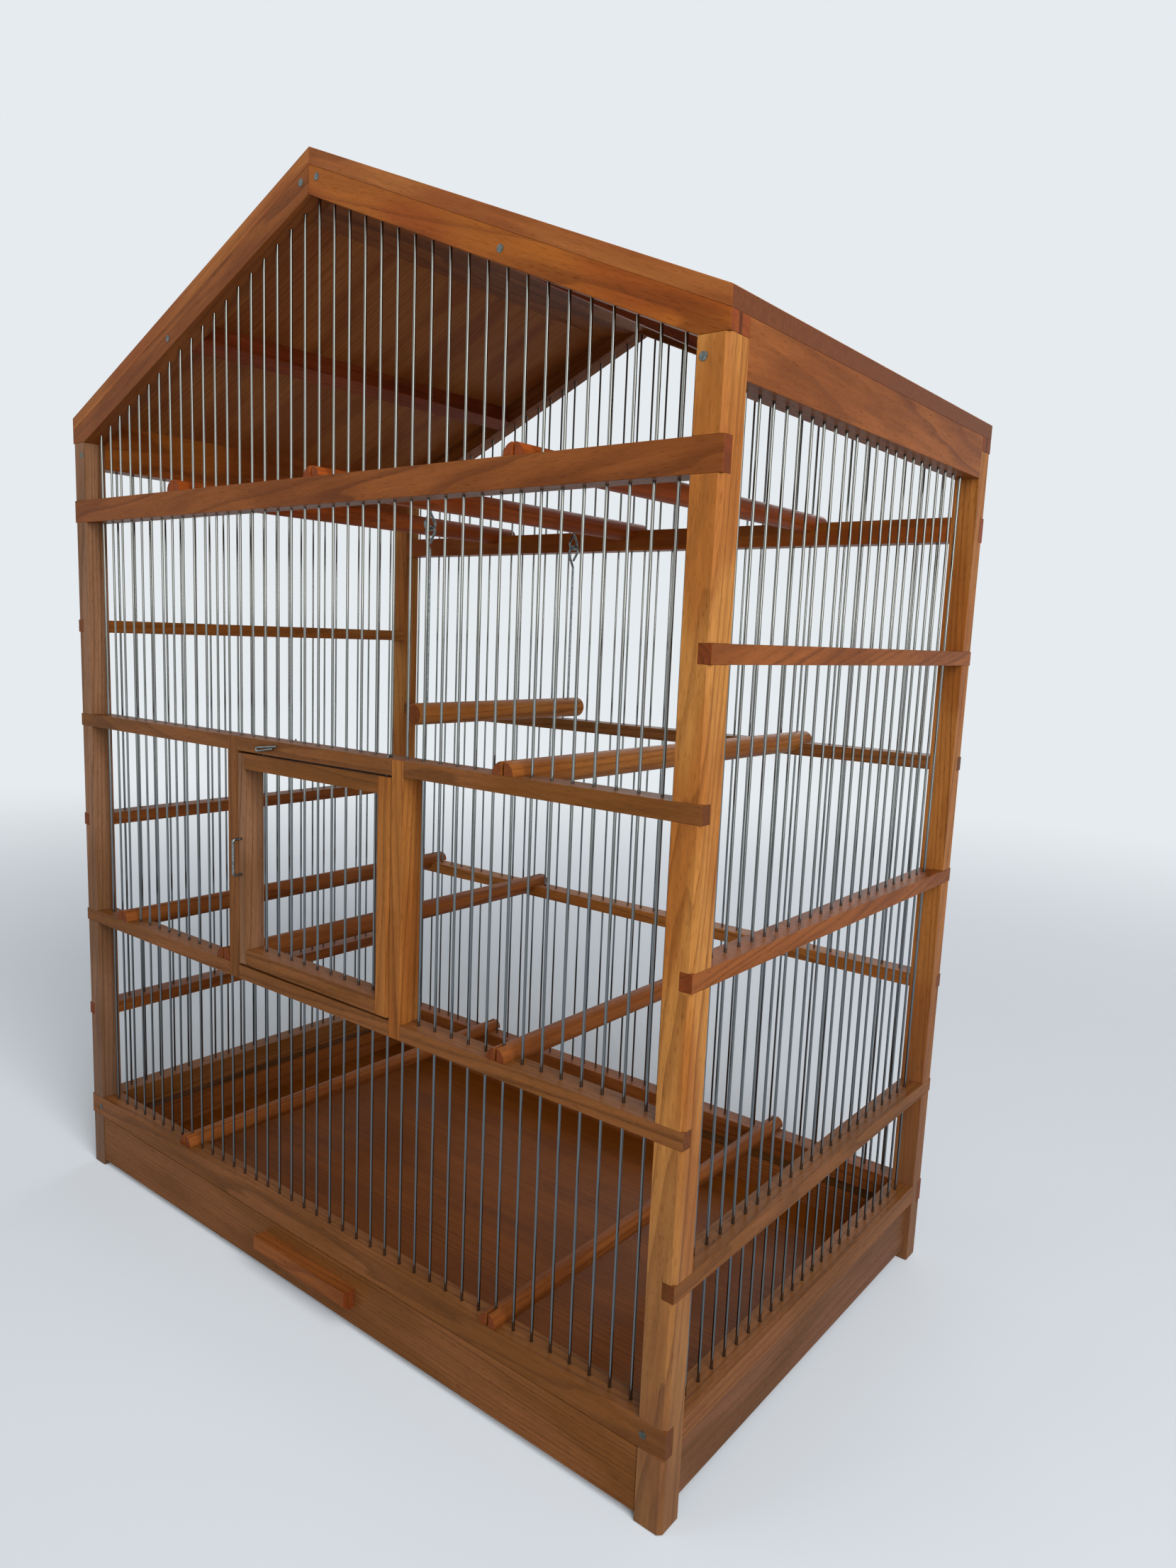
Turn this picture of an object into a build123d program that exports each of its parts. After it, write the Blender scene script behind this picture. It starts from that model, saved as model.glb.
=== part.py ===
from build123d import *
from math import atan, degrees
import os

# A gabled wooden bird cage with wire walls, standing on its four corner posts.
# X runs across the gabled front, Y from the front to the back, Z up; millimetres.
# The origin is on the ground under the middle of the whole outline.

os.makedirs("parts", exist_ok=True)

# ---- Driving dimensions ----------------------------------------------------

width = 630
depth = 381
post_size = 18
post_height = 641
post_chamfer = 2.5
rail_depth = 18
lap = 8

wire_dia = 1.8
wire_pitch = 15
gable_wire_count = 39
side_wire_count = 22
sill_seat = 10
head_seat = 5

# Each level is the underside and the top of a rail.
gable_levels = ((47, 65), (230, 240.5), (404.5, 415), (576.5, 594.5))
side_levels = ((142, 152.5), (316.5, 327), (485, 495.5))
sill_level = (50, 65)
sill_lip_bottom = 45
eave_beam_bottom = 621.5

roof_rise = 0.429
eave_height = 651
panel_drop = 10.5
purlin_size = 16
purlin_x = 163
ridge_block_half = 38

skirt_bottom = 10
skirt_recess = 3.5
skirt_thickness = 8

nail_dia = 2
nail_head_dia = 4.6
nail_head_height = 1.2
nail_proud = 0.3

door_left = -82
door_right = 85
door_bottom = 242.4
door_top = 403
door_depth = 17
latch_stile_width = 7.5
hinge_stile_width = 12.8
hinge_stile_round = 4
door_rail_height = 11.5
door_wire_count = 9
door_wire_seat = 6
jamb_spans = ((-95, -83), (85.3, 96))
jamb_lap = 9
hinge_x = 76
hinge_inset = 4.7
pin_dia = 1.8
pin_clearance = 0.1
pin_reach = 8
pin_hole_depth = 9
pin_tail = 3.2
pin_bend = 1.2

pull_dia = 2
pull_height = 27
pull_reach = 8.4
pull_centre_z = 325.4
pull_embed = 5

latch_dia = 1.3
latch_x = -39.5
latch_length = 17.5
latch_eye_width = 2.6
latch_droop = 3.2
latch_end_reach = 6.5
latch_end_rise = 2.4
latch_gap = 1.2
latch_tail = 6
latch_bend = 1.3
latch_eye_bend = 1.2

tray_gap = 0.6
tray_front_level = (5, 46)
tray_front_face = 0.5
tray_front_thickness = 12
tray_wall_thickness = 6
tray_wall_top = 40.5
tray_wall_inset = 19
tray_floor_level = (14.2, 18)
tray_back_inset = 19
runner_level = (10, 14)
runner_width = 12
handle_width = 106
handle_level = (19.5, 34.5)
handle_reach = 10
handle_bevel = 4

perch_kerf = 2.2
perch_tail = 4
swing_perch_notch = 9.5

swing_y_shift = 8
swing_length = 200
swing_dia = 16.5
swing_height = 434
swing_hanger_span = 172.5
swing_wire_dia = 2
swing_hole_depth = 10
eye_drop = 13.7
eye_screw = 8
loop_clearance = 0.3

# ---- Places worked out from them ---------------------------------------------

# The tray handle reaches out in front and the perches stand out behind.
front = -depth / 2 + (handle_reach - tray_front_face - perch_tail) / 2
back = front + depth
middle_y = (front + back) / 2
pitch_angle = degrees(atan(roof_rise))

left_side, right_side = -1, 1
front_face, back_face = -1, 1
sides = {"left": left_side, "right": right_side}
faces = {"front": front_face, "back": back_face}


def x_in(side, distance):
    """X of a point this far in from the left or right outer face."""
    return side * (width / 2 - distance)


def y_in(face, distance):
    """Y of a point this far in from the front or back outer face."""
    return front + distance if face == front_face else back - distance


def gable_plane(y):
    """Upright plane across the cage at this Y; its normal points to the front."""
    return Plane.XZ.offset(-y)


def under_panel(x):
    """Height of the underside of the roof panels."""
    return eave_height + roof_rise * (width / 2 - abs(x))


def under_rafter(x):
    """Height of the underside of the rafters, which meets the posts' inner top edge."""
    return post_height + roof_rise * (width / 2 - post_size - abs(x))


def save(part, label):
    part.label = label
    export_step(part, f"parts/{label}.step")


# ---- Corner posts --------------------------------------------------------------


def make_post(side, face):
    """A square post, notched for the half-lapped rails of both of its faces."""
    centre_x = x_in(side, post_size / 2)
    centre_y = y_in(face, post_size / 2)
    with BuildPart() as post:
        with BuildSketch() as section:
            with Locations((centre_x, centre_y)):
                Rectangle(post_size, post_size)
            outer_corner = section.vertices().sort_by_distance((x_in(side, 0), y_in(face, 0), 0))[0]
            chamfer(outer_corner, length=post_chamfer)
        extrude(amount=post_height)
        for bottom, top in gable_levels:
            with BuildSketch(Plane.XY.offset(bottom)):
                with Locations((centre_x, y_in(face, lap / 2))):
                    Rectangle(post_size, lap)
            extrude(amount=top - bottom, mode=Mode.SUBTRACT)
        for bottom, top in side_levels:
            with BuildSketch(Plane.XY.offset(bottom)):
                with Locations((x_in(side, lap / 2), centre_y)):
                    Rectangle(lap, post_size)
            extrude(amount=top - bottom, mode=Mode.SUBTRACT)
    return post.part


for face_name, face in faces.items():
    for side_name, side in sides.items():
        save(make_post(side, face), f"post_{face_name}_{side_name}")

# ---- Rails across the front and the back ---------------------------------------


def make_gable_rail(face, bottom, top, notches=()):
    """A rail with a thin tongue at each end that laps over its post."""
    with BuildPart() as rail:
        with BuildSketch(Plane.XY.offset(bottom)):
            with Locations((0, y_in(face, lap / 2))):
                Rectangle(width, lap)
            with Locations((0, y_in(face, rail_depth / 2))):
                Rectangle(width - 2 * post_size, rail_depth)
            for start, end in notches:
                with Locations(((start + end) / 2, y_in(face, jamb_lap / 2))):
                    Rectangle(end - start, jamb_lap, mode=Mode.SUBTRACT)
        extrude(amount=top - bottom)
    return rail.part


(sill_bottom, sill_top), door_sill, door_head, collar = gable_levels
latch_z = sum(door_head) / 2

save(make_gable_rail(front_face, sill_bottom, sill_top), "front_rail_sill")
save(make_gable_rail(front_face, *door_sill, jamb_spans), "front_rail_below_door")
save(make_gable_rail(front_face, *collar), "front_rail_collar")

# The rail over the door also has the hole that the latch wire turns in.
with BuildPart() as latch_rail:
    add(make_gable_rail(front_face, *door_head, jamb_spans))
    with Locations(Plane(origin=(latch_x, front, latch_z), z_dir=(0, -1, 0))):
        Hole(radius=latch_dia / 2 + pin_clearance, depth=rail_depth)
save(latch_rail.part, "front_rail_above_door")

back_names = ("back_rail_sill", "back_rail_lower", "back_rail_middle", "back_rail_collar")
for name, (bottom, top) in zip(back_names, gable_levels):
    save(make_gable_rail(back_face, bottom, top), name)

# ---- Rails, sills and eave beams along the sides -------------------------------


def make_side_rail(side, bottom, top):
    """The same half-lapped rail, along a side."""
    with BuildPart() as rail:
        with BuildSketch(Plane.XY.offset(bottom)):
            with Locations((x_in(side, lap / 2), middle_y)):
                Rectangle(lap, depth)
            with Locations((x_in(side, rail_depth / 2), middle_y)):
                Rectangle(rail_depth, depth - 2 * post_size)
        extrude(amount=top - bottom)
    return rail.part


def make_sill(side):
    """Bottom side rail between the posts, rebated underneath for the skirt board."""
    skirt_inner = skirt_recess + skirt_thickness
    with BuildPart() as sill:
        with BuildSketch(gable_plane(y_in(front_face, post_size))):
            with BuildLine():
                Polyline(
                    (x_in(side, 0), sill_level[0]),
                    (x_in(side, skirt_inner), sill_level[0]),
                    (x_in(side, skirt_inner), sill_lip_bottom),
                    (x_in(side, rail_depth), sill_lip_bottom),
                    (x_in(side, rail_depth), sill_level[1]),
                    (x_in(side, 0), sill_level[1]),
                    close=True,
                )
            make_face()
        extrude(amount=-(depth - 2 * post_size))
    return sill.part


def make_eave_beam(side):
    """Beam under the roof edge, its top bevelled to the slope of the panel."""
    inner_x = x_in(side, rail_depth)
    with BuildPart() as beam:
        with BuildSketch(gable_plane(y_in(front_face, post_size))):
            with BuildLine():
                Polyline(
                    (x_in(side, 0), eave_beam_bottom),
                    (inner_x, eave_beam_bottom),
                    (inner_x, under_panel(inner_x)),
                    (x_in(side, 0), eave_height),
                    close=True,
                )
            make_face()
        extrude(amount=-(depth - 2 * post_size))
    return beam.part


for side_name, side in sides.items():
    save(make_sill(side), f"{side_name}_rail_sill")
    for name, (bottom, top) in zip(("lower", "middle", "upper"), side_levels):
        save(make_side_rail(side, bottom, top), f"{side_name}_rail_{name}")
    save(make_eave_beam(side), f"{side_name}_eave_beam")

# ---- Skirt boards and tray runners ---------------------------------------------

between_posts = depth - 2 * post_size

with BuildPart() as side_skirts:
    for side in sides.values():
        with BuildSketch(Plane.XY.offset(skirt_bottom)):
            with Locations((x_in(side, skirt_recess + skirt_thickness / 2), middle_y)):
                Rectangle(skirt_thickness, between_posts)
        extrude(amount=sill_level[0] - skirt_bottom)
save(side_skirts.part, "side_skirts")

with BuildPart() as back_skirt:
    with BuildSketch(Plane.XY.offset(skirt_bottom)):
        with Locations((0, y_in(back_face, skirt_recess + skirt_thickness / 2))):
            Rectangle(width - 2 * post_size, skirt_thickness)
    extrude(amount=sill_bottom - skirt_bottom)
save(back_skirt.part, "back_skirt")

with BuildPart() as tray_runners:
    for side in sides.values():
        runner_inset = skirt_recess + skirt_thickness + runner_width / 2
        with BuildSketch(Plane.XY.offset(runner_level[0])):
            with Locations((x_in(side, runner_inset), middle_y)):
                Rectangle(runner_width, between_posts)
        extrude(amount=runner_level[1] - runner_level[0])
save(tray_runners.part, "tray_runners")

# ---- Roof ------------------------------------------------------------------------


def make_rafter(side, face):
    """Gable rafter, seated on the post and mitred against its twin at the ridge."""
    with BuildPart() as rafter:
        with BuildSketch(gable_plane(y_in(face, 0))):
            with BuildLine():
                Polyline(
                    (x_in(side, 0), post_height),
                    (x_in(side, post_size), post_height),
                    (0, under_rafter(0)),
                    (0, under_panel(0)),
                    (x_in(side, 0), eave_height),
                    close=True,
                )
            make_face()
        extrude(amount=face * post_size)
    return rafter.part


def make_roof_panel(side):
    """One sloping board, plumb at the eave and mitred at the ridge."""
    with BuildPart() as panel:
        with BuildSketch(gable_plane(front)):
            with BuildLine():
                Polyline(
                    (x_in(side, 0), eave_height),
                    (0, under_panel(0)),
                    (0, under_panel(0) + panel_drop),
                    (x_in(side, 0), eave_height + panel_drop),
                    close=True,
                )
            make_face()
        extrude(amount=-depth)
    return panel.part


for face_name, face in faces.items():
    for side_name, side in sides.items():
        save(make_rafter(side, face), f"rafter_{face_name}_{side_name}")
for side_name, side in sides.items():
    save(make_roof_panel(side), f"roof_panel_{side_name}")

with BuildPart() as purlins:
    for side in sides.values():
        with BuildSketch(gable_plane(y_in(front_face, post_size))):
            with Locations((side * purlin_x, under_panel(purlin_x))):
                Rectangle(
                    purlin_size,
                    purlin_size,
                    rotation=-side * pitch_angle,
                    align=(Align.CENTER, Align.MAX),
                )
        extrude(amount=-between_posts)
save(purlins.part, "purlins")

# Flat-bottomed block that fills the peak behind the rafters.
with BuildPart() as ridge_block:
    with BuildSketch(gable_plane(y_in(front_face, post_size))):
        with BuildLine():
            Polyline(
                (-ridge_block_half, under_rafter(0)),
                (ridge_block_half, under_rafter(0)),
                (ridge_block_half, under_panel(ridge_block_half)),
                (0, under_panel(0)),
                (-ridge_block_half, under_panel(ridge_block_half)),
                close=True,
            )
        make_face()
    extrude(amount=-between_posts)
save(ridge_block.part, "ridge_block")

# ---- Wire walls --------------------------------------------------------------------

wire_bottom = sill_top - sill_seat
gable_wire_steps = range(gable_wire_count // 2 + 1)
doorway_half = jamb_spans[1][1]


def add_wires(points, bottom, top):
    """Adds straight upright wires at these points to the part being built."""
    with Locations([(x, y, bottom) for x, y in points]):
        Cylinder(wire_dia / 2, top - bottom, align=(Align.CENTER, Align.CENTER, Align.MIN))


def mirrored_pair(x, y):
    return ((x, y), (-x, y)) if x else ((x, y),)


front_wire_y = y_in(front_face, rail_depth / 2)
with BuildPart() as front_wires:
    for step in gable_wire_steps:
        x = step * wire_pitch
        pair = mirrored_pair(x, front_wire_y)
        wire_top = under_rafter(x) + head_seat
        if x < doorway_half:
            add_wires(pair, wire_bottom, door_sill[0] + head_seat)
            add_wires(pair, door_head[1] - head_seat, wire_top)
        else:
            add_wires(pair, wire_bottom, wire_top)
save(front_wires.part, "front_wires")

with BuildPart() as back_wires:
    for step in gable_wire_steps:
        x = step * wire_pitch
        pair = mirrored_pair(x, y_in(back_face, rail_depth / 2))
        add_wires(pair, wire_bottom, under_rafter(x) + head_seat)
save(back_wires.part, "back_wires")

for side_name, side in sides.items():
    with BuildPart() as side_wires:
        with BuildSketch(Plane.XY.offset(wire_bottom)):
            with Locations((x_in(side, rail_depth / 2), middle_y)):
                with GridLocations(0, wire_pitch, 1, side_wire_count):
                    Circle(wire_dia / 2)
        extrude(amount=eave_beam_bottom + head_seat - wire_bottom)
    save(side_wires.part, f"{side_name}_wires")

# ---- Doorway -------------------------------------------------------------------------

for name, (start, end) in zip(("door_jamb_left", "door_jamb_right"), jamb_spans):
    with BuildPart() as jamb:
        with BuildSketch(Plane.YZ.offset(start)):
            with Locations((front + jamb_lap / 2, (door_sill[0] + door_head[1]) / 2)):
                Rectangle(jamb_lap, door_head[1] - door_sill[0])
            with Locations((front + rail_depth / 2, (door_sill[1] + door_head[0]) / 2)):
                Rectangle(rail_depth, door_head[0] - door_sill[1])
        extrude(amount=end - start)
    save(jamb.part, name)

hinge_y = front + hinge_inset
pin_radius = pin_dia / 2
tail_z = door_head[1] + pin_radius

# Two wire pins: the upper one is bent inwards over the top of its rail.
with BuildPart() as door_hinge_pins:
    with BuildLine() as upper_path:
        FilletPolyline(
            (hinge_x, hinge_y, door_top - pin_reach),
            (hinge_x, hinge_y, tail_z),
            (hinge_x, hinge_y + pin_tail, tail_z),
            radius=pin_bend,
        )
    with BuildSketch(Plane.XY.offset(door_top - pin_reach)):
        with Locations((hinge_x, hinge_y)):
            Circle(pin_radius)
    sweep(path=upper_path.wires()[0])
    with BuildSketch(Plane.XY.offset(door_sill[0])):
        with Locations((hinge_x, hinge_y)):
            Circle(pin_radius)
    extrude(amount=door_bottom + pin_reach - door_sill[0])
save(door_hinge_pins.part, "door_hinge_pins")

# ---- Door ------------------------------------------------------------------------------

door_back = front + door_depth
stile_left = door_left + latch_stile_width
stile_right = door_right - hinge_stile_width

with BuildPart() as door_latch_stile:
    with BuildSketch(Plane.XY.offset(door_bottom)):
        with Locations((door_left + latch_stile_width / 2, (front + door_back) / 2)):
            Rectangle(latch_stile_width, door_depth)
    extrude(amount=door_top - door_bottom)
save(door_latch_stile.part, "door_latch_stile")

# The outer front edge is rounded so that the stile turns clear of its jamb.
with BuildPart() as door_hinge_stile:
    with BuildSketch(Plane.XY.offset(door_bottom)) as stile_section:
        with Locations((door_right - hinge_stile_width / 2, (front + door_back) / 2)):
            Rectangle(hinge_stile_width, door_depth)
        turning_corner = stile_section.vertices().sort_by_distance((door_right, front, 0))[0]
        fillet(turning_corner, radius=hinge_stile_round)
    extrude(amount=door_top - door_bottom)
    with Locations(
        Plane(origin=(hinge_x, hinge_y, door_top)),
        Plane(origin=(hinge_x, hinge_y, door_bottom), z_dir=(0, 0, -1)),
    ):
        Hole(radius=pin_radius + pin_clearance, depth=pin_hole_depth)
save(door_hinge_stile.part, "door_hinge_stile")

door_rail_bottoms = {
    "door_bottom_rail": door_bottom,
    "door_top_rail": door_top - door_rail_height,
}
for name, bottom in door_rail_bottoms.items():
    with BuildPart() as door_rail:
        with BuildSketch(Plane.XY.offset(bottom)):
            with Locations(((stile_left + stile_right) / 2, (front + door_back) / 2)):
                Rectangle(stile_right - stile_left, door_depth)
        extrude(amount=door_rail_height)
    save(door_rail.part, name)

door_wire_bottom = door_bottom + door_rail_height - door_wire_seat
door_wire_top = door_top - door_rail_height + door_wire_seat
with BuildPart() as door_wires:
    with BuildSketch(Plane.XY.offset(door_wire_bottom)):
        with Locations((0, front_wire_y)):
            with GridLocations(wire_pitch, 0, door_wire_count, 1):
                Circle(wire_dia / 2)
    extrude(amount=door_wire_top - door_wire_bottom)
save(door_wires.part, "door_wires")

# A wire staple to pull the door open by.
pull_x = door_left + latch_stile_width / 2
pull_y = front - pull_reach + pull_dia / 2
pull_low = pull_centre_z - pull_height / 2
pull_high = pull_centre_z + pull_height / 2
with BuildPart() as door_pull:
    with BuildLine() as pull_path:
        FilletPolyline(
            (pull_x, front + pull_embed, pull_low),
            (pull_x, pull_y, pull_low),
            (pull_x, pull_y, pull_high),
            (pull_x, front + pull_embed, pull_high),
            radius=pull_dia,
        )
    with BuildSketch(gable_plane(front + pull_embed)):
        with Locations((pull_x, pull_low)):
            Circle(pull_dia / 2)
    sweep(path=pull_path.wires()[0])
save(door_pull.part, "door_pull")

# ---- Door latch ------------------------------------------------------------------------

# One wire: a clinched tail, a shank through the rail, and in front of the rail a hairpin
# that droops to its round eye and comes back over the shank to its cut end.
latch_front_y = front - latch_gap - latch_dia / 2
latch_back_y = front + rail_depth + latch_gap + latch_dia / 2
latch_tip_x = latch_x - latch_length
latch_tip_z = latch_z - latch_droop
with BuildPart() as door_latch:
    with BuildLine() as latch_path:
        FilletPolyline(
            (latch_x, latch_back_y, latch_z + latch_tail),
            (latch_x, latch_back_y, latch_z),
            (latch_x, latch_front_y, latch_z),
            (latch_tip_x, latch_front_y, latch_tip_z),
            (latch_tip_x, latch_front_y, latch_tip_z + latch_eye_width),
            (latch_x + latch_end_reach, latch_front_y, latch_z + latch_end_rise),
            radius=(latch_bend, latch_bend, latch_eye_bend, latch_eye_bend),
        )
    with BuildSketch(Plane.XY.offset(latch_z + latch_tail)):
        with Locations((latch_x, latch_back_y)):
            Circle(latch_dia / 2)
    sweep(path=latch_path.wires()[0])
save(door_latch.part, "door_latch")

# ---- Pull-out tray ---------------------------------------------------------------------

tray_face_y = front + tray_front_face
tray_panel_back = tray_face_y + tray_front_thickness
tray_back_y = y_in(back_face, tray_back_inset)
tray_inner_half = width / 2 - tray_wall_inset - tray_wall_thickness
tray_wall_length = tray_back_y - tray_panel_back

with BuildPart() as tray_front:
    with BuildSketch(Plane.XY.offset(tray_front_level[0])):
        with Locations((0, (tray_face_y + tray_panel_back) / 2)):
            Rectangle(width - 2 * (post_size + tray_gap), tray_front_thickness)
    extrude(amount=tray_front_level[1] - tray_front_level[0])
save(tray_front.part, "tray_front")

with BuildPart() as tray_side_walls:
    with BuildSketch(Plane.XY.offset(tray_floor_level[0])):
        for side in sides.values():
            wall_x = x_in(side, tray_wall_inset + tray_wall_thickness / 2)
            with Locations((wall_x, (tray_panel_back + tray_back_y) / 2)):
                Rectangle(tray_wall_thickness, tray_wall_length)
    extrude(amount=tray_wall_top - tray_floor_level[0])
save(tray_side_walls.part, "tray_side_walls")

with BuildPart() as tray_back_wall:
    with BuildSketch(Plane.XY.offset(tray_floor_level[0])):
        with Locations((0, tray_back_y - tray_wall_thickness / 2)):
            Rectangle(2 * tray_inner_half, tray_wall_thickness)
    extrude(amount=tray_wall_top - tray_floor_level[0])
save(tray_back_wall.part, "tray_back_wall")

floor_back_y = tray_back_y - tray_wall_thickness
with BuildPart() as tray_floor:
    with BuildSketch(Plane.XY.offset(tray_floor_level[0])):
        with Locations((0, (tray_panel_back + floor_back_y) / 2)):
            Rectangle(2 * tray_inner_half, floor_back_y - tray_panel_back)
    extrude(amount=tray_floor_level[1] - tray_floor_level[0])
save(tray_floor.part, "tray_floor")

# A bar handle, bevelled underneath for the fingers.
with BuildPart() as tray_handle:
    with BuildSketch(Plane.YZ.offset(-handle_width / 2)):
        with BuildLine():
            Polyline(
                (tray_face_y, handle_level[0]),
                (tray_face_y, handle_level[1]),
                (tray_face_y - handle_reach, handle_level[1]),
                (tray_face_y - handle_reach, handle_level[0] + handle_bevel),
                (tray_face_y - handle_reach + handle_bevel, handle_level[0]),
                close=True,
            )
        make_face()
    extrude(amount=handle_width)
save(tray_handle.part, "tray_handle")

# ---- Perches -----------------------------------------------------------------------------


def make_perch(rail_top, x, setback, diameter, notch):
    """A dowel notched to sit flat on two rails, its sawn ends straddling a wire."""
    start_y = front + setback
    end_y = back + perch_tail
    centre_z = rail_top + diameter / 2 - notch
    kerf_reach = rail_depth / 2 + perch_kerf / 2
    with BuildPart() as perch:
        with BuildSketch(gable_plane(start_y)):
            with Locations((x, centre_z)):
                Circle(diameter / 2)
        extrude(amount=-(end_y - start_y))
        # Flat seats over the rails.
        for face in faces.values():
            seat_inner = y_in(face, rail_depth)
            seat_outer = y_in(face, -diameter)
            with BuildSketch(Plane.XY.offset(rail_top)):
                with Locations((x, (seat_inner + seat_outer) / 2)):
                    Rectangle(diameter, abs(seat_outer - seat_inner))
            extrude(amount=-diameter, mode=Mode.SUBTRACT)
        # Saw kerfs that slide over the wires.
        for face in faces.values():
            kerf_inner = y_in(face, kerf_reach)
            kerf_outer = y_in(face, -diameter)
            with BuildSketch(Plane.XY.offset(rail_top)):
                with Locations((x, (kerf_inner + kerf_outer) / 2)):
                    Rectangle(perch_kerf, abs(kerf_outer - kerf_inner))
            extrude(amount=diameter, mode=Mode.SUBTRACT)
    return perch.part


# For each level: the top of its rails, then each perch's place across the cage, setback
# from the front, diameter, and depth of its notches.
perch_levels = {
    "perches_sill": (sill_top, ((-165, 2, 15, 6.4), (180, 0.5, 14, 5.4))),
    "perches_lower": (
        door_sill[1],
        ((-255, 0, 16.5, 8), (-105, 0.8, 16.5, 8), (180, 1, 14, 5.6)),
    ),
    "perch_middle": (door_head[1], ((180, 0, 16.5, 8),)),
    "perches_upper": (
        collar[1],
        ((-165, 1, 16.5, 8), (0, 2, 17, swing_perch_notch), (180, 1, 15.5, 7.8)),
    ),
}
for name, (rail_top, rows) in perch_levels.items():
    with BuildPart() as perches:
        for row in rows:
            add(make_perch(rail_top, *row))
    save(perches.part, name)

# ---- Swing -------------------------------------------------------------------------------

swing_y = middle_y + swing_y_shift
perch_underside = collar[1] - swing_perch_notch
pivot_z = perch_underside - eye_drop
loop_rise = swing_wire_dia + loop_clearance
hanger_ys = (swing_y - swing_hanger_span / 2, swing_y + swing_hanger_span / 2)
swing_wire_radius = swing_wire_dia / 2
hanger_bottom = swing_height + swing_dia / 2 - swing_hole_depth

# Along each bent wire: how far it stands across and above the pivot, and the radius of the
# bend there. An eye is a drop shape in line with the cage's depth, its screw at the top.
eye_bends = (
    (0, eye_drop + eye_screw, None),
    (0, 12.2, 1.5),
    (5.2, 4.6, 3.5),
    (4.2, 0, 2.6),
    (-4.2, 0, 2.6),
    (-5.6, 4.6, 3.5),
    (-1.7, 11.1, None),
)
# A hanger's leg leans into a hook that goes over the eye's lowest strand and back down.
hanger_bends = (
    (0, hanger_bottom - pivot_z, None),
    (0, -15.5, 4),
    (-3.4, -8, 5),
    (-4.4, loop_rise, 3.8),
    (4.4, loop_rise, 3.8),
    (4.8, -2.5, 4),
    (0.1, -10.1, None),
)


def make_bent_wire(plane, bends):
    """A wire of the swing's gauge, bent in this plane."""
    with BuildPart() as wire:
        with BuildLine(plane) as path:
            FilletPolyline(
                *((across, up) for across, up, radius in bends),
                radius=[radius for across, up, radius in bends[1:-1]],
            )
        with BuildSketch(Plane(path.line @ 0, z_dir=path.line % 0)):
            Circle(swing_wire_radius)
        sweep(path=path.wires()[0])
    return wire.part


with BuildPart() as swing_eyes:
    for y in hanger_ys:
        eye_plane = Plane(origin=(0, y, pivot_z), x_dir=(0, 1, 0), z_dir=(1, 0, 0))
        add(make_bent_wire(eye_plane, eye_bends))
save(swing_eyes.part, "swing_eyes")

with BuildPart() as swing_hangers:
    for y in hanger_ys:
        hook_plane = Plane(origin=(0, y, pivot_z), x_dir=(1, 0, 0), z_dir=(0, -1, 0))
        add(make_bent_wire(hook_plane, hanger_bends))
save(swing_hangers.part, "swing_hangers")

with BuildPart() as swing_bar:
    with BuildSketch(gable_plane(swing_y - swing_length / 2)):
        with Locations((0, swing_height)):
            Circle(swing_dia / 2)
    extrude(amount=-swing_length)
    chamfer(swing_bar.edges().filter_by(GeomType.CIRCLE), length=1)
    for y in hanger_ys:
        with Locations((0, y, swing_height + swing_dia / 2)):
            Hole(radius=swing_wire_radius, depth=swing_hole_depth)
save(swing_bar.part, "swing_bar")

# ---- Nails -------------------------------------------------------------------------------

# On each gable face: place across, height, and length of each nail.
nail_places = (
    (8, 777, 32),
    (purlin_x + 4, 704.5, 32),
    (x_in(right_side, 14), 631, 36),
    (x_in(right_side, 15), 56, 14),
)

with BuildPart() as nails:
    for face in faces.values():
        for x, z, length in nail_places:
            for side in sides.values():
                head = Plane(origin=(side * x, y_in(face, -nail_proud), z), z_dir=(0, -face, 0))
                with Locations(head):
                    Cylinder(
                        nail_head_dia / 2,
                        nail_head_height,
                        align=(Align.CENTER, Align.CENTER, Align.MIN),
                    )
                    Cylinder(
                        nail_dia / 2,
                        length,
                        align=(Align.CENTER, Align.CENTER, Align.MIN),
                    )
save(nails.part, "nails")
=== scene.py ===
import math

import bpy
from mathutils import Matrix, Vector


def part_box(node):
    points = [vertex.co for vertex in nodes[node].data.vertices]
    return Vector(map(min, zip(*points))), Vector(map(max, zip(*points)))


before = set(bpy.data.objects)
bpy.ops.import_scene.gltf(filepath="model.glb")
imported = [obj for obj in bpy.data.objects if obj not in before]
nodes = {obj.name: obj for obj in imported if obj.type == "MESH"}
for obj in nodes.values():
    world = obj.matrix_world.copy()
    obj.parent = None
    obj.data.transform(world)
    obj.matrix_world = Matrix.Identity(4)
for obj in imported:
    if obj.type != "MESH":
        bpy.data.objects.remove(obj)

for spare in ("Cube", "Light", "Camera"):  # what a new file holds
    if spare in bpy.data.objects:
        bpy.data.objects.remove(bpy.data.objects[spare])

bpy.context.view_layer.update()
scene = bpy.context.scene
mm = 0.001
perMetre = 1000  # millimetres in a metre
print("frame loaded:", len(nodes), "nodes")


def hexColour(code):
    # sRGB hex to the linear values that sockets take
    parts = [int(code[i : i + 2], 16) / 255 for i in (1, 3, 5)]
    linear = [c / 12.92 if c <= 0.04045 else ((c + 0.055) / 1.055) ** 2.4 for c in parts]
    return (*linear, 1.0)


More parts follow.
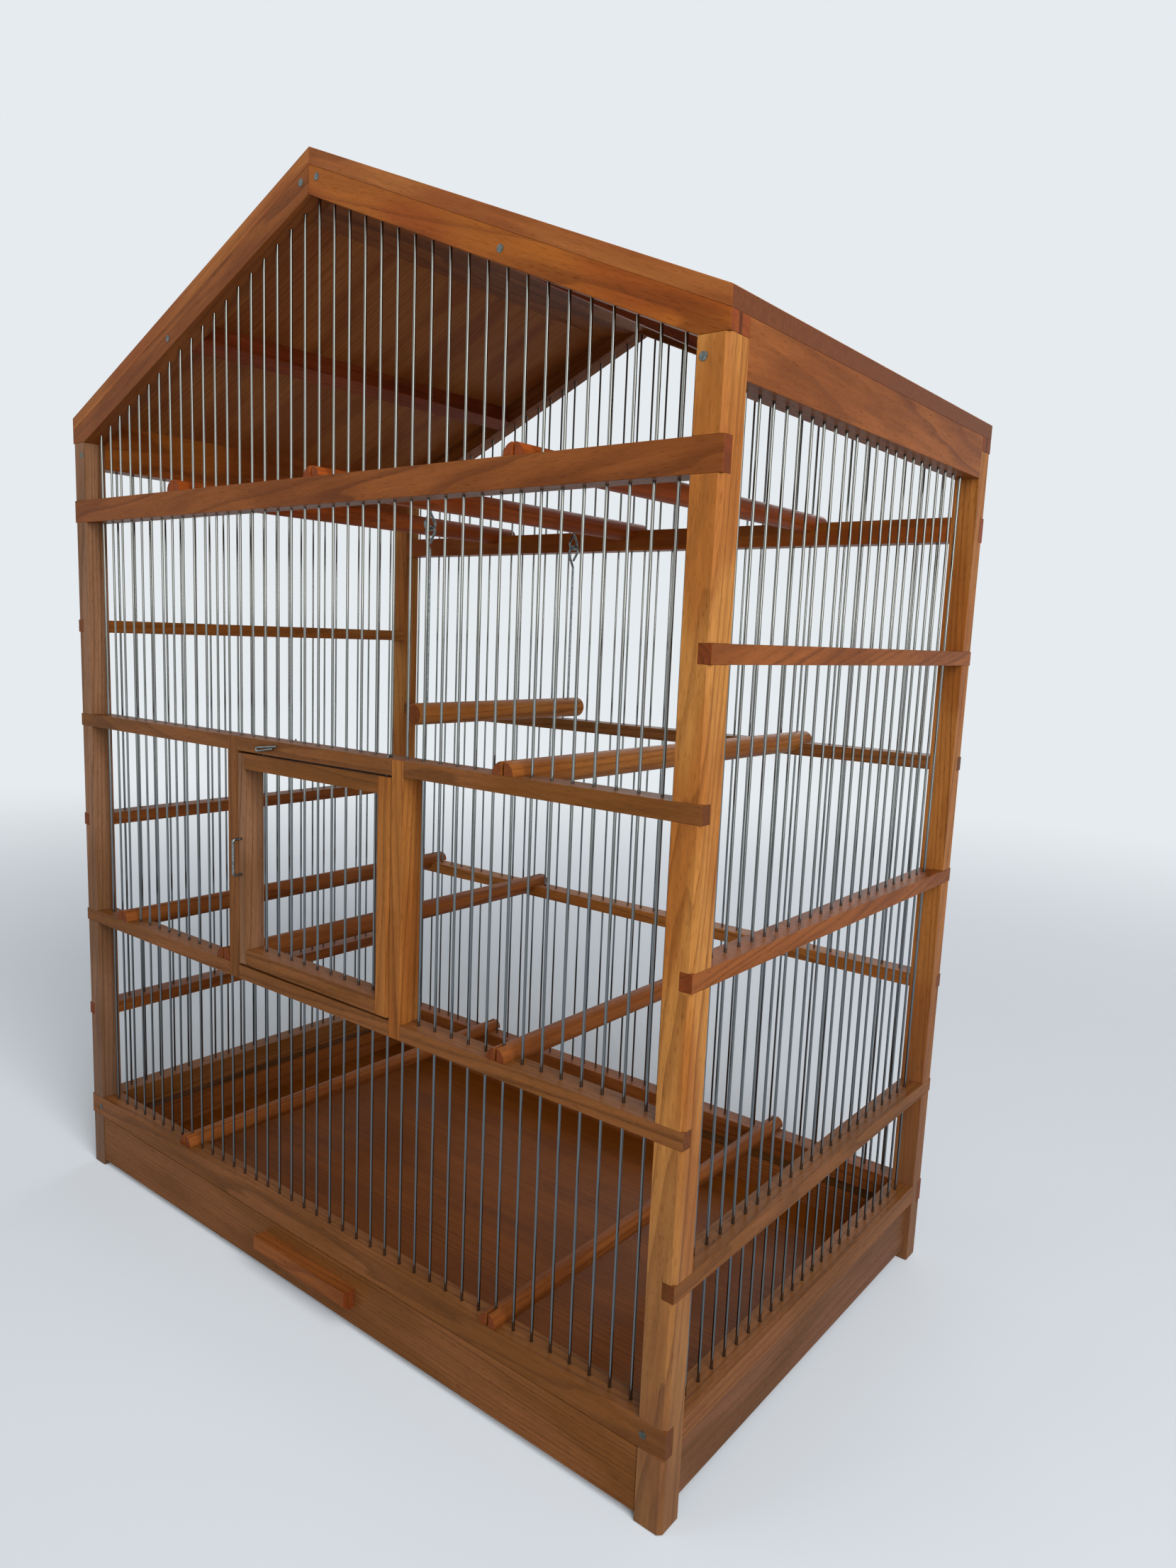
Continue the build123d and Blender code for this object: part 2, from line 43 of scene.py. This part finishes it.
def addNode(tree, kind, inputs=None, **settings):
    # A node with its settings. An input is a value, or another node's output to link.
    node = tree.nodes.new(kind)
    for name, value in settings.items():
        setattr(node, name, value)
    for socket, value in (inputs or {}).items():
        if isinstance(value, bpy.types.NodeSocket):
            tree.links.new(value, node.inputs[socket])
        else:
            node.inputs[socket].default_value = value
    return node


def newMaterial(name):
    material = bpy.data.materials.new(name)
    material.use_nodes = True
    material.node_tree.nodes.clear()
    return material, material.node_tree


def middleOf(node):
    low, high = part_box(node)
    return (low + high) / 2


cameraLook = {
    "place": (0.5867, -0.6412, 0.4965),  # metres
    "heading": 39.33,  # degrees, to the left of straight back
    "tilt": -8.64,
    "roll": 2.08,
    "lens": 16.2,  # mm
    "sensor": 24.0,
    "shift": (0.0252, 0.0078),
    "nearest": 0.02,  # metres
}

camera = bpy.data.objects.new("camera", bpy.data.cameras.new("camera"))
scene.collection.objects.link(camera)
camera.data.sensor_fit = "VERTICAL"
camera.data.sensor_height = cameraLook["sensor"]
camera.data.lens = cameraLook["lens"]
camera.data.shift_x, camera.data.shift_y = cameraLook["shift"]
camera.data.clip_start = cameraLook["nearest"]
camera.matrix_world = (
    Matrix.Translation(cameraLook["place"])
    @ Matrix.Rotation(math.radians(cameraLook["heading"]), 4, "Z")
    @ Matrix.Rotation(math.radians(90 + cameraLook["tilt"]), 4, "X")
    @ Matrix.Rotation(math.radians(cameraLook["roll"]), 4, "Z")
)
scene.camera = camera

# Places in metres, width and height in metres, power in watts. The tall lamp draws a bright
# line down every wire, as a window beside the cage would, and the low strip carries it on to
# the middle of the walls.
lampLooks = {
    "tallLamp": {
        "from": (1.65, -0.95, 1.6),
        "at": (0.0, 0.0, 1.1),
        "size": (1.4, 2.2),
        "power": 45.5,
    },
    "lowStrip": {
        "from": (1.65, -0.95, 0.34),
        "at": (0.0, 0.0, 0.3),
        "size": (0.35, 0.5),
        "power": 2.8,
    },
    "fillLamp": {
        "from": (-1.6, -2.3, 1.3),
        "at": (0.0, 0.0, 0.4),
        "size": (1.8, 1.8),
        "power": 12,
    },
    "backLamp": {
        "from": (-0.6, 2.2, 1.6),
        "at": (0.0, 0.0, 0.5),
        "size": (1.4, 1.4),
        "power": 14,
    },
}

for name, look in lampLooks.items():
    lamp = bpy.data.lights.new(name, "AREA")
    lamp.shape = "RECTANGLE"
    lamp.size, lamp.size_y = look["size"]
    lamp.energy = look["power"]
    holder = bpy.data.objects.new(name, lamp)
    scene.collection.objects.link(holder)
    holder.location = look["from"]
    aim = Vector(look["at"]) - Vector(look["from"])
    holder.rotation_euler = aim.to_track_quat("-Z", "Y").to_euler()
    holder.visible_camera = False  # its light shows, and not the lamp itself

# The ambient light is softer than the backdrop that the camera, metal and glass see.
backdropLook = {"colour": "#E6EBEF", "ambient": 0.38, "seen": 1.0}

world = bpy.data.worlds.new("studio")
scene.world = world
world.use_nodes = True
sky = world.node_tree
sky.nodes.clear()
path = addNode(sky, "ShaderNodeLightPath")
seen = path.outputs["Is Camera Ray"]
for ray in ("Is Glossy Ray", "Is Transmission Ray"):
    seen = addNode(
        sky, "ShaderNodeMath", {0: seen, 1: path.outputs[ray]}, operation="MAXIMUM"
    ).outputs[0]
strength = addNode(
    sky,
    "ShaderNodeMapRange",
    {"Value": seen, "To Min": backdropLook["ambient"], "To Max": backdropLook["seen"]},
).outputs[0]
glow = addNode(
    sky,
    "ShaderNodeBackground",
    {"Color": hexColour(backdropLook["colour"]), "Strength": strength},
).outputs[0]
addNode(sky, "ShaderNodeOutputWorld", {"Surface": glow})
scene.view_settings.view_transform = "Standard"

# Matte backdrop paper: even, with no gloss. It fades into the world, so no horizon shows.
floorLook = {
    "half": 6.0,  # metres from the middle to each side
    "drop": 0.0005,  # metres under the feet
    "colour": "#DCE1E6",
    "rough": 0.8,
    "fadeFrom": 0.7,  # metres from the middle
    "fadeTo": 2.8,
}

half = floorLook["half"]
corners = [(-half, -half, 0), (half, -half, 0), (half, half, 0), (-half, half, 0)]
floorMesh = bpy.data.meshes.new("floor")
floorMesh.from_pydata(corners, [], [(0, 1, 2, 3)])
floor = bpy.data.objects.new("floor", floorMesh)
scene.collection.objects.link(floor)
floor.location.z = -floorLook["drop"]
paper, tree = newMaterial("matteBackdropPaper")
spot = addNode(tree, "ShaderNodeTexCoord").outputs["Object"]
away = addNode(tree, "ShaderNodeVectorMath", {0: spot}, operation="LENGTH").outputs["Value"]
fade = addNode(
    tree,
    "ShaderNodeMapRange",
    {"Value": away, "From Min": floorLook["fadeFrom"], "From Max": floorLook["fadeTo"]},
    interpolation_type="SMOOTHSTEP",
).outputs[0]
matte = addNode(
    tree,
    "ShaderNodeBsdfDiffuse",
    {"Color": hexColour(floorLook["colour"]), "Roughness": floorLook["rough"]},
).outputs[0]
clear = addNode(tree, "ShaderNodeBsdfTransparent").outputs[0]
both = addNode(tree, "ShaderNodeMixShader", {0: fade, 1: matte, 2: clear}).outputs[0]
addNode(tree, "ShaderNodeOutputMaterial", {"Surface": both})
floorMesh.materials.append(paper)
print("stage, camera and lamps ready")

# Spanish cedar, sawn and planed, under satin varnish: orange-brown with soft patches, a thin
# dark line where each ring ends, short dark pores, and redder sawn ends.
cedars = {
    "tan": {"pale": "#B3783B", "warm": "#A0612A", "line": "#6C3A16", "end": "#7C4220"},
    # Painted shade: the next tan is darkened and cooled for boards standing in cool shade.
    "coolShadeTan": {"pale": "#90674A", "warm": "#7C5538", "line": "#573722", "end": "#6A4026"},
    "honey": {"pale": "#A1652F", "warm": "#925523", "line": "#683916", "end": "#763F20"},
    "roofRed": {"pale": "#A0602E", "warm": "#8F4F25", "line": "#683717", "end": "#693A20"},
    "orange": {"pale": "#9F591F", "warm": "#904818", "line": "#643110", "end": "#84401C"},
    "redOrange": {"pale": "#A85322", "warm": "#984619", "line": "#652F12", "end": "#84401C"},
    "russet": {"pale": "#8B4F24", "warm": "#7B431C", "line": "#562B12", "end": "#743819"},
    "redHeart": {"pale": "#934724", "warm": "#82391A", "line": "#542412", "end": "#6E3119"},
    "brown": {"pale": "#81502A", "warm": "#75471F", "line": "#502F15", "end": "#653719"},
    # Painted shade: the next brown is greyed and cooled for the skirts, which stand in cool shade
    # low on the sides.
    "coolShadeBrown": {"pale": "#754B31", "warm": "#694325", "line": "#4A2E19", "end": "#5E3A20"},
    "dark": {"pale": "#7A400C", "warm": "#6F390A", "line": "#532806", "end": "#4A260C"},
}

# How a board was sawn from the log: the ring width and how far the rings wander, in
# millimetres, and how strongly ring lines, streaks and pores show.
sawings = {
    "straight": {"ring": 3.4, "wander": 5, "lines": 0.6, "streaks": 0.13, "pores": 0.4},
    "flat": {"ring": 5.5, "wander": 12, "lines": 0.65, "streaks": 0.12, "pores": 0.35},
    "broad": {"ring": 12, "wander": 22, "lines": 0.62, "streaks": 0.1, "pores": 0.3},
    "striped": {"ring": 4.2, "wander": 6, "lines": 0.5, "streaks": 0.14, "pores": 0.3},
}

# Each ring darkens over a share of its width, and its dark line ends just before the next.
ringLook = {
    "apart": 28,  # mm between one wander of the rings and the next
    "along": 0.1,  # how fast they wander along the board, against across it
    "darkens": (0.5, 0.92),
    "ends": (0.94, 1.0),
    "faintest": 0.2,  # share of the sawing's line strength in the faintest ring
}

# Width across the grain and run along it, in millimetres, detail, and the noise values
# between which it shows. Real pores are finer than these and wouldn't show.
figures = {
    "streak": {"width": 2.6, "run": 60, "detail": 3.0, "shows": (0.3, 0.7)},
    "fibre": {"width": 0.5, "run": 25, "detail": 2.0, "shows": (0.3, 0.7)},
    "pore": {"width": 0.45, "run": 7, "detail": 0.0, "shows": (0.62, 0.74)},
    "patch": {"width": 30, "run": 110, "detail": 1.0, "shows": (0.4, 0.6)},
}
fibreTones = (0.95, 1.05)  # darkest and palest fibre, against the wood's own tone
endGrain = (0.7, 0.9)  # how squarely a face has to cut the grain to count as a sawn end
logSpacing = 731  # mm between the stretches of log that two boards are cut from

# The post feet turn darker and greyer towards the floor: partly dust, partly painted shade where
# the light falls off low down.
footShadeAndDust = {"top": 0.34, "most": 0.6, "colour": "#5E4738"}  # metres up, share at the floor

# The varnish is satin and thin: it lies duller in the pores and hardly shines.
varnishLook = {
    "rough": 0.4,
    "poreRough": 0.15,
    "poreDepth": -0.8,  # against the fibres' own relief
    "relief": 0.3,
    "depth": 0.15,  # mm
    "ior": 1.5,
    "shine": 0.06,
}

# Painted shade: the dark edge of the hole that each wire stands in, where the gap round the wire
# lies in shade.
holeShadeLook = {"rim": (1.1, 1.7), "strength": 0.65, "colour": "#2B170C"}  # mm from its middle


def cedarMaterial(name, cedar, sawing, board):
    material, tree = newMaterial(name)
    tones = {key: hexColour(code) for key, code in cedars[cedar].items()}
    cut = sawings[sawing]

    # Turn the board so that the heart of its log is the Z axis, in millimetres.
    grain = Vector(board["grain"]).normalized()
    pith = Vector(board["pith"])
    lean = math.tan(math.radians(board["lean"]))
    heartLine = (grain + pith.normalized() * lean).normalized()
    turn = heartLine.rotation_difference(Vector((0, 0, 1)))
    heart = board["middle"] * perMetre + pith
    place = addNode(tree, "ShaderNodeTexCoord")
    spot = addNode(
        tree,
        "ShaderNodeMapping",
        {
            "Vector": place.outputs["Object"],
            "Location": Vector((0, 0, logSpacing * board["seed"])) - turn @ heart,
            "Rotation": turn.to_euler(),
            "Scale": (perMetre, perMetre, perMetre),
        },
    ).outputs[0]

    # Rings round the heart. Each ends in a dark line with a strength of its own.
    slow = addNode(
        tree, "ShaderNodeVectorMath", {0: spot, 1: (1, 1, ringLook["along"])}, operation="MULTIPLY"
    ).outputs[0]
    drift = addNode(
        tree,
        "ShaderNodeTexNoise",
        {"Vector": slow, "Scale": 1 / ringLook["apart"], "Detail": 2.0},
    ).outputs[0]
    flatSpot = addNode(
        tree, "ShaderNodeVectorMath", {0: spot, 1: (1, 1, 0)}, operation="MULTIPLY"
    ).outputs[0]
    reach = addNode(
        tree, "ShaderNodeVectorMath", {0: flatSpot}, operation="LENGTH"
    ).outputs["Value"]
    reach = addNode(
        tree,
        "ShaderNodeMath",
        {0: drift, 1: 2 * cut["wander"], 2: reach},
        operation="MULTIPLY_ADD",
    ).outputs[0]
    years = addNode(
        tree, "ShaderNodeMath", {0: reach, 1: 1 / cut["ring"]}, operation="MULTIPLY"
    ).outputs[0]
    season = addNode(tree, "ShaderNodeMath", {0: years}, operation="FRACT").outputs[0]
    year = addNode(tree, "ShaderNodeMath", {0: years}, operation="FLOOR").outputs[0]
    strength = addNode(
        tree, "ShaderNodeTexWhiteNoise", {"W": year}, noise_dimensions="1D"
    ).outputs[0]
    strength = addNode(
        tree,
        "ShaderNodeMapRange",
        {
            "Value": strength,
            "To Min": ringLook["faintest"] * cut["lines"],
            "To Max": cut["lines"],
        },
    ).outputs[0]
    rise = addNode(
        tree,
        "ShaderNodeMapRange",
        {
            "Value": season,
            "From Min": ringLook["darkens"][0],
            "From Max": ringLook["darkens"][1],
        },
        interpolation_type="SMOOTHSTEP",
    ).outputs[0]
    fall = addNode(
        tree,
        "ShaderNodeMapRange",
        {
            "Value": season,
            "From Min": ringLook["ends"][0],
            "From Max": ringLook["ends"][1],
            "To Min": 1.0,
            "To Max": 0.0,
        },
        interpolation_type="SMOOTHSTEP",
    ).outputs[0]
    lateWood = addNode(
        tree, "ShaderNodeMath", {0: rise, 1: fall}, operation="MULTIPLY"
    ).outputs[0]

    # Streaks, fibres, pores and patches run with the grain. Streaks and fibres come out as
    # tones, and pores and patches as how much of them shows.
    spans = {
        "streak": (1 + cut["streaks"], 1 - cut["streaks"], "LINEAR"),
        "fibre": (*fibreTones, "LINEAR"),
        "pore": (0.0, 1.0, "SMOOTHSTEP"),
        "patch": (0.0, 1.0, "SMOOTHSTEP"),
    }
    fields = {}
    for field, look in figures.items():
        drawn = addNode(
            tree,
            "ShaderNodeVectorMath",
            {0: spot, 1: (1, 1, look["width"] / look["run"])},
            operation="MULTIPLY",
        ).outputs[0]
        noise = addNode(
            tree,
            "ShaderNodeTexNoise",
            {"Vector": drawn, "Scale": 1 / look["width"], "Detail": look["detail"]},
        ).outputs[0]
        low, high, blend = spans[field]
        fields[field] = addNode(
            tree,
            "ShaderNodeMapRange",
            {
                "Value": noise,
                "From Min": look["shows"][0],
                "From Max": look["shows"][1],
                "To Min": low,
                "To Max": high,
            },
            interpolation_type=blend,
        ).outputs[0]

    # Sawn ends drink more varnish, so they look redder and darker.
    facing = addNode(
        tree,
        "ShaderNodeVectorMath",
        {0: place.outputs["Normal"], 1: grain},
        operation="DOT_PRODUCT",
    ).outputs["Value"]
    facing = addNode(tree, "ShaderNodeMath", {0: facing}, operation="ABSOLUTE").outputs[0]
    sawn = addNode(
        tree,
        "ShaderNodeMapRange",
        {"Value": facing, "From Min": endGrain[0], "From Max": endGrain[1]},
        interpolation_type="SMOOTHSTEP",
    ).outputs[0]

    tone = addNode(
        tree,
        "ShaderNodeMix",
        {0: fields["patch"], 6: tones["pale"], 7: tones["warm"]},
        data_type="RGBA",
    ).outputs[2]
    tone = addNode(
        tree, "ShaderNodeMix", {0: sawn, 6: tone, 7: tones["end"]}, data_type="RGBA"
    ).outputs[2]
    shade = addNode(
        tree, "ShaderNodeMath", {0: fields["streak"], 1: fields["fibre"]}, operation="MULTIPLY"
    ).outputs[0]
    tone = addNode(
        tree, "ShaderNodeVectorMath", {0: tone, "Scale": shade}, operation="SCALE"
    ).outputs[0]
    marks = addNode(
        tree, "ShaderNodeMath", {0: lateWood, 1: strength}, operation="MULTIPLY"
    ).outputs[0]
    marks = addNode(
        tree,
        "ShaderNodeMath",
        {0: fields["pore"], 1: cut["pores"], 2: marks},
        operation="MULTIPLY_ADD",
        use_clamp=True,
    ).outputs[0]
    tone = addNode(
        tree, "ShaderNodeMix", {0: marks, 6: tone, 7: tones["line"]}, data_type="RGBA"
    ).outputs[2]
    if board["feet"]:
        tone = footShadeAndDustTone(tree, place.outputs["Object"], tone)
    if board["holes"]:
        tone = holeShadeTone(tree, place.outputs["Object"], tone, board["holes"])

    gloss = addNode(
        tree,
        "ShaderNodeMath",
        {0: fields["pore"], 1: varnishLook["poreRough"], 2: varnishLook["rough"]},
        operation="MULTIPLY_ADD",
    ).outputs[0]
    relief = addNode(
        tree,
        "ShaderNodeMath",
        {0: fields["pore"], 1: varnishLook["poreDepth"], 2: fields["fibre"]},
        operation="MULTIPLY_ADD",
    ).outputs[0]
    bump = addNode(
        tree,
        "ShaderNodeBump",
        {
            "Height": relief,
            "Strength": varnishLook["relief"],
            "Distance": varnishLook["depth"] * mm,
        },
    ).outputs[0]
    shader = addNode(
        tree,
        "ShaderNodeBsdfPrincipled",
        {
            "Base Color": tone,
            "Roughness": gloss,
            "Normal": bump,
            "IOR": varnishLook["ior"],
            "Specular IOR Level": varnishLook["shine"],
        },
    ).outputs[0]
    addNode(tree, "ShaderNodeOutputMaterial", {"Surface": shader})
    return material


def footShadeAndDustTone(tree, spot, tone):
    # Painted shade with dust: darker and greyer towards the floor, where less light reaches the
    # feet.
    height = addNode(tree, "ShaderNodeSeparateXYZ", {0: spot}).outputs["Z"]
    shadeAndDust = addNode(
        tree,
        "ShaderNodeMapRange",
        {
            "Value": height,
            "From Min": footShadeAndDust["top"],
            "From Max": 0.0,
            "To Max": footShadeAndDust["most"],
        },
        interpolation_type="SMOOTHSTEP",
    ).outputs[0]
    return addNode(
        tree,
        "ShaderNodeMix",
        {0: shadeAndDust, 6: tone, 7: hexColour(footShadeAndDust["colour"])},
        data_type="RGBA",
    ).outputs[2]


def holeShadeTone(tree, spot, tone, holes):
    # Painted shade: a dark rim where each wire enters the wood, in the shaded gap of its hole.
    scaled = addNode(
        tree,
        "ShaderNodeVectorMath",
        {0: spot, 1: (perMetre, perMetre, perMetre)},
        operation="MULTIPLY",
    ).outputs[0]
    parts = addNode(tree, "ShaderNodeSeparateXYZ", {0: scaled})
    row, side = ("X", "Y") if holes["along"] == "x" else ("Y", "X")
    step = addNode(
        tree,
        "ShaderNodeMath",
        {0: parts.outputs[row], 1: holes["start"]},
        operation="SUBTRACT",
    ).outputs[0]
    near = addNode(
        tree, "ShaderNodeMath", {0: step, 1: holes["pitch"] / 2}, operation="PINGPONG"
    ).outputs[0]
    off = addNode(
        tree,
        "ShaderNodeMath",
        {0: parts.outputs[side], 1: holes["line"]},
        operation="SUBTRACT",
    ).outputs[0]
    pair = addNode(tree, "ShaderNodeCombineXYZ", {0: near, 1: off}).outputs[0]
    distance = addNode(
        tree, "ShaderNodeVectorMath", {0: pair}, operation="LENGTH"
    ).outputs["Value"]
    rim = addNode(
        tree,
        "ShaderNodeMapRange",
        {
            "Value": distance,
            "From Min": holeShadeLook["rim"][0],
            "From Max": holeShadeLook["rim"][1],
            "To Min": holeShadeLook["strength"],
            "To Max": 0.0,
        },
        interpolation_type="SMOOTHSTEP",
    ).outputs[0]
    return addNode(
        tree,
        "ShaderNodeMix",
        {0: rim, 6: tone, 7: hexColour(holeShadeLook["colour"])},
        data_type="RGBA",
    ).outputs[2]


wallWires = {"pitch": 15, "radius": 0.9}  # mm


def holesOf(wires, along):
    # Where the wires of one wall stand, read from their own box, in millimetres.
    low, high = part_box(wires)
    index = 0 if along == "x" else 1
    return {
        "along": along,
        "start": low[index] * perMetre + wallWires["radius"],
        "line": (low[1 - index] + high[1 - index]) * perMetre / 2,
        "pitch": wallWires["pitch"],
    }


frontHoles = holesOf("front_wires", "x")
backHoles = holesOf("back_wires", "x")
leftHoles = holesOf("left_wires", "y")
rightHoles = holesOf("right_wires", "y")

# Grain directions: along the front, front to back, upright, and down each side of the roof.
x, y, z = (1, 0, 0), (0, 1, 0), (0, 0, 1)
roofFall = 0.429  # drop for each unit across
slope = math.atan(roofFall)
downRight = (math.cos(slope), 0, -math.sin(slope))
downLeft = (-math.cos(slope), 0, -math.sin(slope))

# Boards low down and on the shaded left take darker, cooler cedars: partly their own tone, partly
# painted shade where less light falls.
# node: cedar, sawing, grain, heart of the log from the board's middle in millimetres, lean of
# the grain in degrees, wire holes
boards = {
    "post_front_left": ("coolShadeTan", "straight", z, (20, 46, 0), 1.2, None),
    "post_front_right": ("tan", "flat", z, (14, 30, 0), 3.4, None),
    "post_back_left": ("tan", "straight", z, (-30, 60, 0), 1.0, None),
    "post_back_right": ("honey", "straight", z, (-34, 12, 0), 1.6, None),
    "front_rail_sill": ("brown", "flat", x, (0, 26, 9), 1.6, frontHoles),
    "front_rail_below_door": ("brown", "straight", x, (0, 30, 18), 1.2, frontHoles),
    "front_rail_above_door": ("brown", "flat", x, (0, 34, -12), 1.4, frontHoles),
    "front_rail_collar": ("russet", "broad", x, (0, 20, 40), 6, frontHoles),
    "back_rail_sill": ("russet", "flat", x, (0, -26, 12), 1.2, backHoles),
    "back_rail_lower": ("honey", "straight", x, (0, 34, -14), 1.0, backHoles),
    "back_rail_middle": ("brown", "straight", x, (0, -30, 16), 1.2, backHoles),
    "back_rail_collar": ("orange", "broad", x, (0, 36, 10), 1.4, backHoles),
    "left_rail_sill": ("brown", "flat", y, (26, 0, 12), 1.4, leftHoles),
    "left_rail_lower": ("russet", "straight", y, (-34, 0, 12), 1.2, leftHoles),
    "left_rail_middle": ("russet", "flat", y, (-30, 0, -16), 1.0, leftHoles),
    "left_rail_upper": ("honey", "straight", y, (34, 0, 14), 1.2, leftHoles),
    "left_eave_beam": ("orange", "broad", y, (-44, 0, 22), 1.6, leftHoles),
    "right_rail_sill": ("brown", "straight", y, (-30, 0, 40), 1.0, rightHoles),
    "right_rail_lower": ("brown", "flat", y, (-34, 0, 12), 1.2, rightHoles),
    "right_rail_middle": ("russet", "flat", y, (-14, 0, 40), 9, rightHoles),
    "right_rail_upper": ("russet", "flat", y, (-8, 0, 40), 13, rightHoles),
    "right_eave_beam": ("russet", "flat", y, (-46, 0, -26), 3.0, rightHoles),
    "side_skirts": ("coolShadeBrown", "striped", y, (12, 0, 150), 0.4, None),
    "back_skirt": ("brown", "striped", x, (0, 12, 150), 0.4, None),
    "tray_runners": ("dark", "straight", y, (30, 0, 30), 0.6, None),
    "rafter_front_right": ("orange", "broad", downRight, (12, 30, 28), 2.2, frontHoles),
    "rafter_front_left": ("russet", "flat", downLeft, (-12, 34, 24), 1.4, frontHoles),
    "rafter_back_right": ("russet", "flat", downRight, (10, -30, 24), 1.4, backHoles),
    "rafter_back_left": ("russet", "flat", downLeft, (-10, -34, 26), 1.2, backHoles),
    "roof_panel_right": ("roofRed", "striped", downRight, (0, 170, 0), 0.6, None),
    "roof_panel_left": ("roofRed", "striped", downLeft, (0, -190, 0), 0.6, None),
    "purlins": ("redHeart", "straight", y, (30, 0, 30), 0.8, None),
    "ridge_block": ("russet", "broad", y, (8, 0, 50), 0.8, None),
    "door_jamb_left": ("brown", "straight", z, (24, 30, 0), 1.2, None),
    "door_jamb_right": ("honey", "straight", z, (-24, 36, 0), 1.4, None),
    "door_latch_stile": ("coolShadeTan", "straight", z, (30, 30, 0), 1.0, None),
    "door_hinge_stile": ("honey", "flat", z, (14, 30, 0), 2.0, None),
    "door_bottom_rail": ("brown", "straight", x, (0, 30, 20), 1.0, frontHoles),
    "door_top_rail": ("brown", "flat", x, (0, 26, -12), 1.4, frontHoles),
    "tray_front": ("brown", "straight", x, (0, 20, -190), 0.3, None),
    "tray_handle": ("russet", "flat", x, (0, 30, 14), 1.2, None),
    "tray_side_walls": ("russet", "straight", y, (0, 0, 60), 0.5, None),
    "tray_back_wall": ("russet", "straight", x, (0, 10, 60), 0.5, None),
    "tray_floor": ("dark", "striped", x, (0, 230, 40), 0.5, None),
    "perches_sill": ("russet", "straight", y, (14, 0, 30), 0.8, None),
    "perches_lower": ("russet", "flat", y, (20, 0, 22), 1.0, None),
    "perch_middle": ("honey", "straight", y, (-12, 0, 24), 0.8, None),
    "perches_upper": ("redOrange", "straight", y, (16, 0, -26), 0.8, None),
    "swing_bar": ("tan", "flat", y, (12, 0, 20), 1.0, None),
}

# Each edge is sanded off a little, which draws a fine highlight along it.
edgeLook = {"join": 0.01, "eased": 0.35, "steps": 2, "sharper": 50}  # mm, mm, count, degrees

for seed, (node, row) in enumerate(boards.items(), start=1):
    cedar, sawing, grain, pith, lean, holes = row
    board = {
        "grain": grain,
        "pith": pith,
        "lean": lean,
        "middle": middleOf(node),
        "seed": seed,
        "holes": holes,
        "feet": node.startswith("post_"),
    }
    piece = nodes[node]
    finish = cedarMaterial(f"varnishedCedar_{node}", cedar, sawing, board)
    piece.material_slots[0].material = finish
    weld = piece.modifiers.new("joinEdges", "WELD")
    weld.merge_threshold = edgeLook["join"] * mm
    ease = piece.modifiers.new("sandedEdges", "BEVEL")
    ease.width = edgeLook["eased"] * mm
    ease.segments = edgeLook["steps"]
    ease.limit_method = "ANGLE"
    ease.angle_limit = math.radians(edgeLook["sharper"])
    ease.harden_normals = False
    smooth = piece.modifiers.new("flatFaces", "WEIGHTED_NORMAL")
    smooth.keep_sharp = True
print("wood finished:", len(boards), "boards")

# Drawn steel wire is bright and smooth, with darker edges, and bluer grey near the floor of the
# cage, a painted reflection of the cool floor. Galvanised wire is grey and a little uneven. Nail
# heads are dull dark steel.
metals = {
    "brightDrawnSteel": {
        "nodes": ("front_wires", "back_wires", "left_wires", "right_wires", "door_wires"),
        "high": "#777772",
        "low": "#7D8386",
        "edge": "#898989",
        "rough": 0.1,
        "grain": 6,  # mm from one worn patch to the next
        "floorReflectionTo": (0.2, 0.55),  # metres up the walls
    },
    "galvanisedSteelWire": {
        "nodes": ("door_pull", "door_latch", "swing_eyes", "swing_hangers"),
        "high": "#8C918F",
        "low": "#5F6668",
        "edge": "#FFFFFF",
        "rough": 0.34,
        "grain": 1.5,
        "floorReflectionTo": None,
    },
    "dullNailSteel": {
        "nodes": ("door_hinge_pins", "nails"),
        "high": "#6B6F6B",
        "low": "#4C524F",
        "edge": "#FFFFFF",
        "rough": 0.5,
        "grain": 1.2,
        "floorReflectionTo": None,
    },
}
wearLook = {"shows": (0.35, 0.65), "rough": 0.1}  # noise values, and how far gloss varies


def metalMaterial(name, look):
    # The bright wire turns bluer grey low down, a painted reflection of the cool floor; the other
    # metals change in small patches.
    material, tree = newMaterial(name)
    place = addNode(tree, "ShaderNodeTexCoord").outputs["Object"]
    wear = addNode(
        tree,
        "ShaderNodeTexNoise",
        {"Vector": place, "Scale": perMetre / look["grain"], "Detail": 2.0},
    ).outputs[0]
    # Painted reflection: the low wires take the cool floor's tint in their colour.
    if look["floorReflectionTo"]:
        height = addNode(tree, "ShaderNodeSeparateXYZ", {0: place}).outputs["Z"]
        share = addNode(
            tree,
            "ShaderNodeMapRange",
            {"Value": height, "From Min": look["floorReflectionTo"][0], "From Max": look["floorReflectionTo"][1]},
            interpolation_type="SMOOTHSTEP",
        ).outputs[0]
    else:
        low, high = wearLook["shows"]
        share = addNode(
            tree, "ShaderNodeMapRange", {"Value": wear, "From Min": low, "From Max": high}
        ).outputs[0]
    tone = addNode(
        tree,
        "ShaderNodeMix",
        {0: share, 6: hexColour(look["low"]), 7: hexColour(look["high"])},
        data_type="RGBA",
    ).outputs[2]
    gloss = addNode(
        tree,
        "ShaderNodeMath",
        {0: wear, 1: wearLook["rough"], 2: look["rough"] - wearLook["rough"] / 2},
        operation="MULTIPLY_ADD",
    ).outputs[0]
    shader = addNode(
        tree,
        "ShaderNodeBsdfPrincipled",
        {
            "Base Color": tone,
            "Metallic": 1.0,
            "Roughness": gloss,
            "Specular Tint": hexColour(look["edge"]),
        },
    ).outputs[0]
    addNode(tree, "ShaderNodeOutputMaterial", {"Surface": shader})
    return material


for name, look in metals.items():
    metal = metalMaterial(name, look)
    for node in look["nodes"]:
        nodes[node].material_slots[0].material = metal
print("metal finished")
